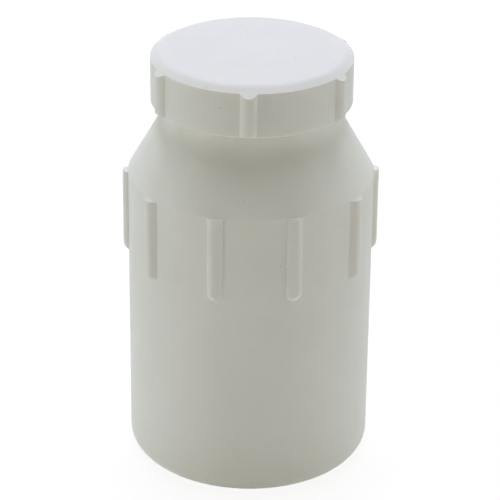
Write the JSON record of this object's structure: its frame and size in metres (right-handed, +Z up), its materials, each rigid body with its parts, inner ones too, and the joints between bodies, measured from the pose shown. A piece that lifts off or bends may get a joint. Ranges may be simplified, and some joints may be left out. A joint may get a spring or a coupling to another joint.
{
  "type": "reagent bottle",
  "caption": "Wide-neck reagent bottle in thick white plastic, with vertical grip ribs round the shoulder and a flat ribbed screw cap that seals on a loose disc.",
  "frame": {"origin": "middle of the base, on the surface that the bottle stands on", "axes": "+Z up along the bottle's axis, Y along the mould's opening direction, the pictured side towards -Y"},
  "size_m": [0.1106, 0.106, 0.1873],
  "materials": {
    "bottle_plastic": "satin, waxy",
    "cap_plastic": "satin, waxy",
    "disc_plastic": "satin"
  },
  "bodies": {
    "bottle": {"bottle_body": "bottle_plastic"},
    "seal": {"sealing_disc": "disc_plastic"},
    "cap": {"screw_cap": "cap_plastic"}
  },
  "joints": [
    {"name": "cap_lift", "type": "slide", "parent": "bottle", "child": "seal", "axis": [0, 0, 1], "range_m": [0, 0.018]},
    {"name": "cap_turn", "type": "hinge", "parent": "seal", "child": "cap", "pos_m": [0, 0, 0.1652], "axis": [0, 0, 1], "range_deg": [0, 1080]}
  ],
  "couplings": [
    {"joint": "cap_lift", "follows": "cap_turn", "m_per_rad": 0.00095493}
  ]
}
